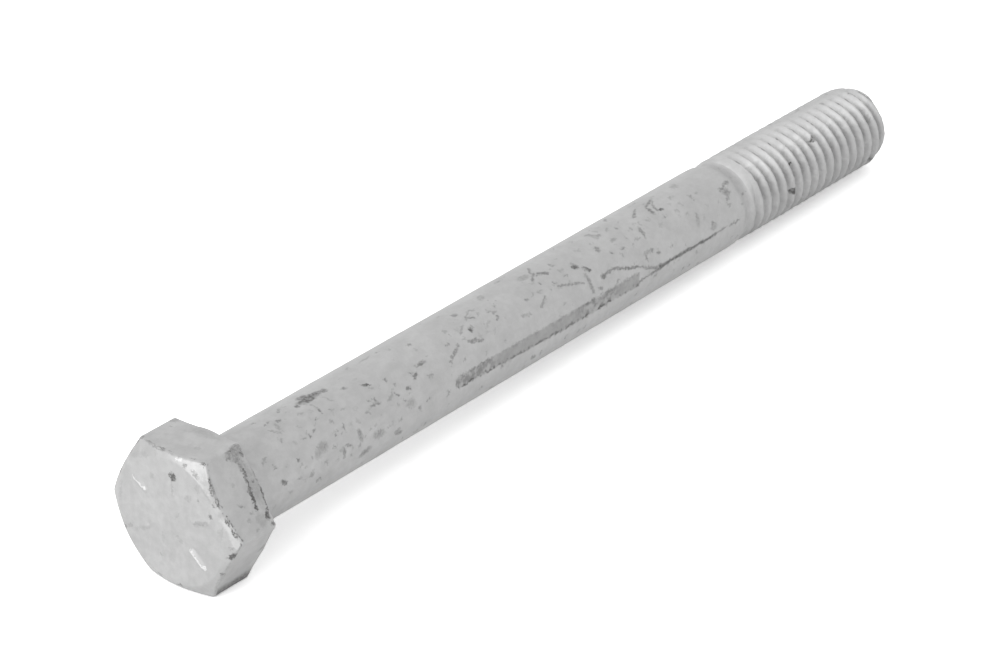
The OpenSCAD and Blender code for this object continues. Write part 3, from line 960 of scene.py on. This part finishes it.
# How pale the floor is to the light that it throws back. The camera sees it as two matt coats that are
# paler than that, with a glow that thins the shadow, so that it shows as white.
FLOOR_BOUNCE = 0.68
FLOOR_COAT, FLOOR_SECOND_COAT = 1.0, 0.5
FLOOR_GLOW = 0.2
FLOOR_SIZE = 3.0
# How strong the world's light is. It shows as plain white.
WORLD_LIGHT = 0.80
# The camera looks at a point near the screw's middle, from a turn round the upright, a rise and a distance.
CAMERA_AIM = Vector((0.05454, -0.00097, -0.00114))
CAMERA_TURN = radians(-139.599)
CAMERA_RISE = radians(28.913)
CAMERA_ROLL = radians(-2.037)
CAMERA_DISTANCE = 0.4787
CAMERA_LENS = 128.76


def matt(tree, level):
    return node(tree, "BsdfDiffuse", {"Color": (level, level, level, 1)}).outputs[0]


def added(tree, first, second):
    return node(tree, "AddShader", {0: first, 1: second}).outputs[0]


def chosen(tree, share, first, second):
    return node(tree, "MixShader", {0: share, 1: first, 2: second}).outputs[0]


def floor_white():
    """The floor's material, which differs between the camera, mirrored rays and all others."""
    material = bpy.data.materials.new("floor_white")
    material.use_nodes = True
    tree = material.node_tree
    tree.nodes.remove(tree.nodes["Principled BSDF"])
    path = node(tree, "LightPath").outputs
    glow = node(tree, "Emission", {"Strength": FLOOR_GLOW}).outputs[0]
    both_coats = added(tree, matt(tree, FLOOR_COAT), matt(tree, FLOOR_SECOND_COAT))
    seen = added(tree, both_coats, glow)
    mirrored = added(tree, matt(tree, FLOOR_COAT), glow)
    in_mirror = largest(tree, path["Is Glossy Ray"], path["Is Transmission Ray"])
    unseen = chosen(tree, in_mirror, matt(tree, FLOOR_BOUNCE), mirrored)
    shown = chosen(tree, path["Is Camera Ray"], unseen, seen)
    tree.links.new(shown, tree.nodes["Material Output"].inputs["Surface"])
    return material


def stage_floor(level):
    """A flat floor under the screw's lowest point."""
    bm = bmesh.new()
    bmesh.ops.create_grid(bm, x_segments=1, y_segments=1, size=FLOOR_SIZE)
    bmesh.ops.translate(bm, vec=(0, 0, level), verts=bm.verts)
    floor_piece = add_piece("floor", bm)
    floor_piece.data.materials.append(floor_white())


def light_world():
    """A plain soft light from all sides, which the camera, mirrors and glass see as white."""
    world = bpy.data.worlds.new("studio")
    bpy.context.scene.world = world
    world.use_nodes = True
    tree = world.node_tree
    path = node(tree, "LightPath").outputs
    seen = largest(tree, path["Is Camera Ray"], path["Is Glossy Ray"], path["Is Transmission Ray"])
    back = tree.nodes["Background"]
    back.inputs["Color"].default_value = (1, 1, 1, 1)
    tree.links.new(run(tree, seen, 0.0, 1.0, WORLD_LIGHT, 1.0), back.inputs["Strength"])


def soft_box(name, place, aim, size, power):
    """A square lamp that faces a point."""
    lamp = bpy.data.lights.new(name, "AREA")
    lamp.shape = "SQUARE"
    lamp.size = size
    lamp.energy = power
    lamp_piece = bpy.data.objects.new(name, lamp)
    bpy.context.scene.collection.objects.link(lamp_piece)
    lamp_piece.location = place
    lamp_piece.rotation_euler = (Vector(aim) - Vector(place)).to_track_quat("-Z", "Y").to_euler()


def set_camera():
    """The camera, turned round its aim and then drawn back from it."""
    camera = bpy.data.cameras.new("camera")
    camera.lens = CAMERA_LENS
    camera.sensor_width = 36.0
    camera.clip_start = 0.01
    camera.clip_end = 20.0
    camera_piece = bpy.data.objects.new("camera", camera)
    bpy.context.scene.collection.objects.link(camera_piece)
    camera_piece.matrix_world = (
        Matrix.Translation(CAMERA_AIM) @ Matrix.Rotation(CAMERA_TURN + pi / 2, 4, "Z")
        @ Matrix.Rotation(pi / 2 - CAMERA_RISE, 4, "X") @ Matrix.Rotation(CAMERA_ROLL, 4, "Z")
        @ Matrix.Translation((0, 0, CAMERA_DISTANCE))
    )
    bpy.context.scene.camera = camera_piece


screw = make_screw()
for zinc in zinc_materials():
    screw.data.materials.append(zinc)
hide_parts("screw")
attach(screw, "root")

stage_floor(cad_box[0][2])
light_world()
soft_box("left_box", place=(-0.9, 0.0, 0.55), aim=(0.05, 0, 0), size=0.8, power=6.0)
set_camera()
bpy.context.scene.view_settings.view_transform = "Standard"
